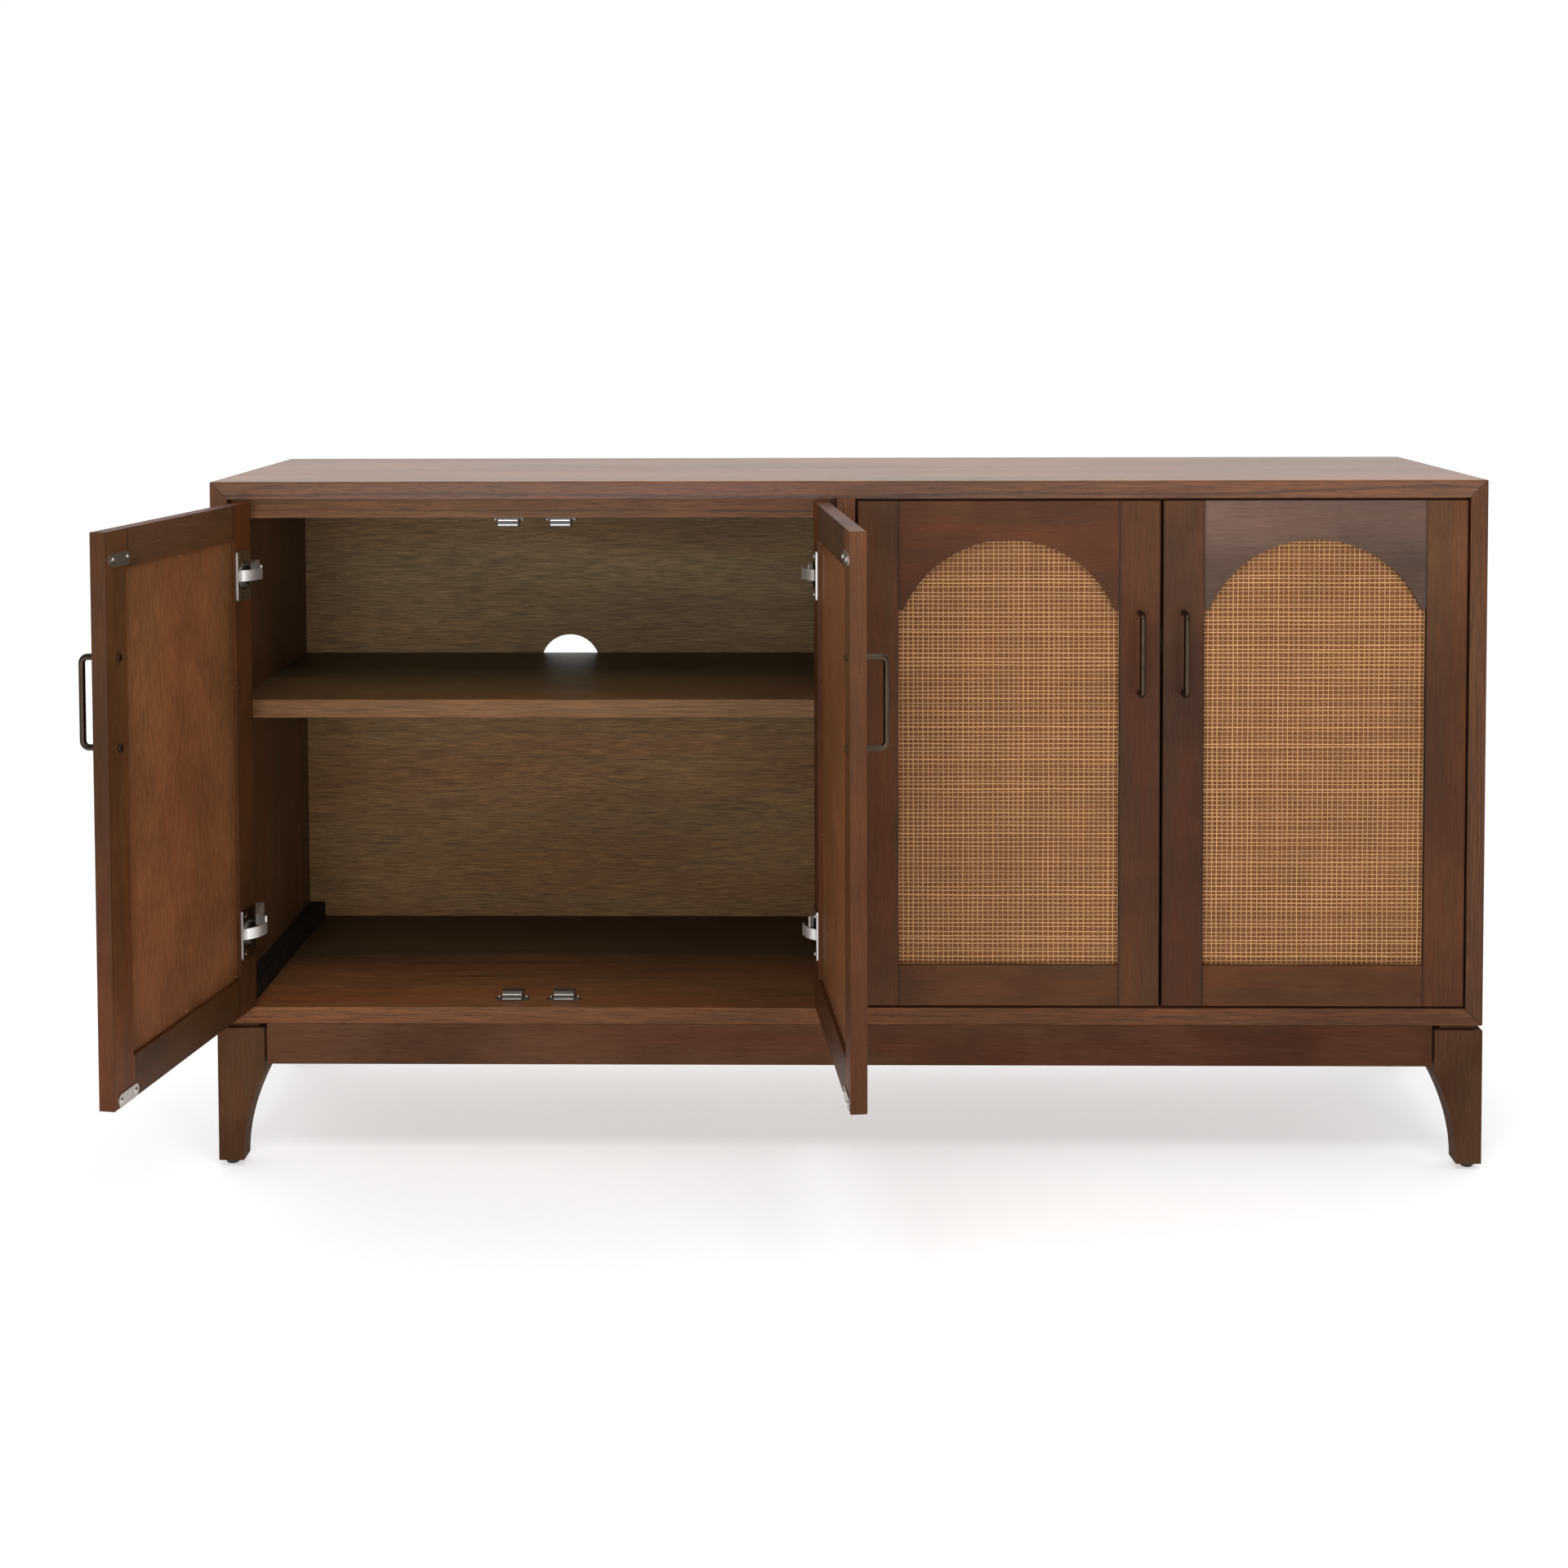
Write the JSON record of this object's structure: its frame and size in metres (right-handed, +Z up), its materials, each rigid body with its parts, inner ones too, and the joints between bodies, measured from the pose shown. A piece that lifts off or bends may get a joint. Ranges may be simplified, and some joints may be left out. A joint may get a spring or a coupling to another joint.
{
  "type": "media cabinet",
  "caption": "Low walnut-stained media cabinet with inset arched cane doors on concealed hinges, shelved bays with cable holes, wire pulls and bracket legs.",
  "frame": {"origin": "on the floor, at the middle of the bounding box in the rest pose, in which the two left doors stand open", "axes": "+Z up, +X to the right of someone facing the doors, -Y towards that person"},
  "size_m": [1.5734, 0.7665, 0.832],
  "materials": {
    "case_walnut": "satin",
    "base_walnut": "satin",
    "shelf_walnut": "satin",
    "back_plywood": "matt",
    "door_walnut": "satin",
    "door_board": "satin",
    "woven_cane": "matt",
    "bronze": "satin",
    "nickel": "bright",
    "catch_plastic": "matt",
    "black_cleat": "matt",
    "black_nylon": "matt"
  },
  "bodies": {
    "cabinet": {"top_panel": "case_walnut", "bottom_panel": "case_walnut", "left_side": "case_walnut", "right_side": "case_walnut", "centre_divider": "case_walnut", "back_panel": "back_plywood", "stop_rails": "case_walnut", "left_shelf": "shelf_walnut", "right_shelf": "shelf_walnut", "shelf_pins": "nickel", "floor_cleats": "black_cleat", "magnetic_catches": "catch_plastic", "catch_plates": "nickel", "case_screws": "nickel", "front_apron": "base_walnut", "rear_apron": "base_walnut", "side_aprons": "base_walnut", "front_left_leg": "base_walnut", "front_right_leg": "base_walnut", "rear_left_leg": "base_walnut", "rear_right_leg": "base_walnut", "foot_glides": "black_nylon", "hinge_arms": "nickel", "hinge_plates": "nickel"},
    "door_1": {"door_1_stiles": "door_walnut", "door_1_top_rail": "door_walnut", "door_1_bottom_rail": "door_walnut", "door_1_cane": "woven_cane", "door_1_back_panel": "door_board", "door_1_pull": "bronze", "door_1_hinge_cups": "nickel", "door_1_strikes": "nickel", "door_1_screws": "nickel"},
    "door_2": {"door_2_stiles": "door_walnut", "door_2_top_rail": "door_walnut", "door_2_bottom_rail": "door_walnut", "door_2_cane": "woven_cane", "door_2_back_panel": "door_board", "door_2_pull": "bronze", "door_2_hinge_cups": "nickel", "door_2_strikes": "nickel", "door_2_screws": "nickel"},
    "door_3": {"door_3_stiles": "door_walnut", "door_3_top_rail": "door_walnut", "door_3_bottom_rail": "door_walnut", "door_3_cane": "woven_cane", "door_3_back_panel": "door_board", "door_3_pull": "bronze", "door_3_hinge_cups": "nickel", "door_3_strikes": "nickel", "door_3_screws": "nickel"},
    "door_4": {"door_4_stiles": "door_walnut", "door_4_top_rail": "door_walnut", "door_4_bottom_rail": "door_walnut", "door_4_cane": "woven_cane", "door_4_back_panel": "door_board", "door_4_pull": "bronze", "door_4_hinge_cups": "nickel", "door_4_strikes": "nickel", "door_4_screws": "nickel"}
  },
  "joints": [
    {"name": "door_1_hinge", "type": "hinge", "parent": "cabinet", "child": "door_1", "pos_m": [-0.7093, -0.0261, 0.505], "axis": [0, 0, -1], "range_deg": [-99.3, 5]},
    {"name": "door_2_hinge", "type": "hinge", "parent": "cabinet", "child": "door_2", "pos_m": [0.0072, -0.0261, 0.505], "axis": [0, 0, 1], "range_deg": [-96, 0]},
    {"name": "door_3_hinge", "type": "hinge", "parent": "cabinet", "child": "door_3", "pos_m": [0.0422, -0.0261, 0.505], "axis": [0, 0, -1], "range_deg": [0, 80]},
    {"name": "door_4_hinge", "type": "hinge", "parent": "cabinet", "child": "door_4", "pos_m": [0.7587, -0.0261, 0.505], "axis": [0, 0, 1], "range_deg": [0, 105]}
  ]
}
